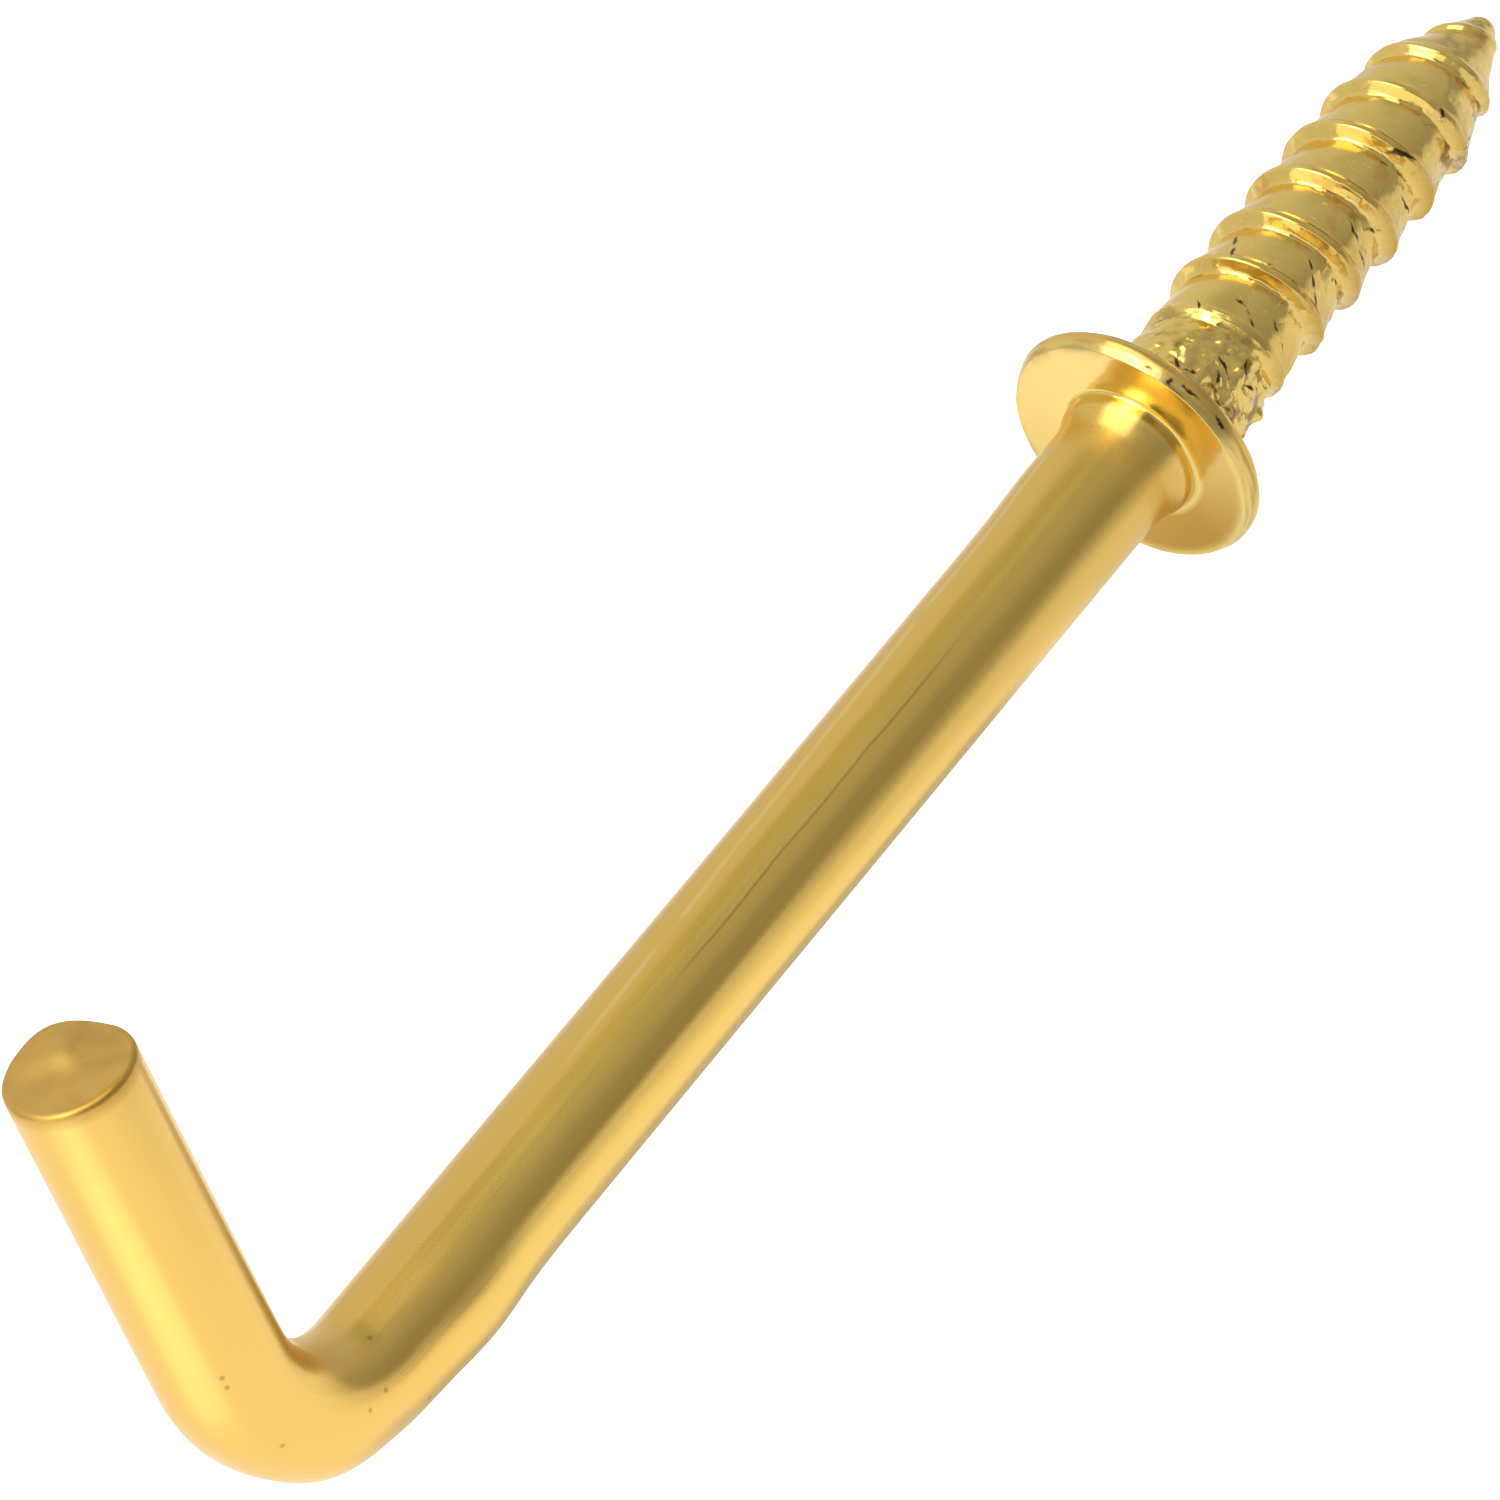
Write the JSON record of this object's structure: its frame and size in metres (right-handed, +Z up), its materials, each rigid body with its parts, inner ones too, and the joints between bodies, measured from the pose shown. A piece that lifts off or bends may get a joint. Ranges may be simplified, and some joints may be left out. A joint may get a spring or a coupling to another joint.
{
  "type": "square dresser hook",
  "caption": "One-piece square wall hook: a wood-screw end, a round stop collar, a straight shank and a short upturned leg that keeps a cup, ring or loop on it.",
  "frame": {"origin": "centre of the collar's bearing face, on the screw's axis", "axes": "+Y along the screw into the wood, -Y along the shank, +Z up along the short leg, +X to the right"},
  "size_m": [0.0068, 0.0543, 0.0166],
  "materials": {
    "brass_wire": "polished, with faint draw lines along the wire"
  },
  "bodies": {
    "root": {"hook": "brass_wire"}
  },
  "joints": []
}
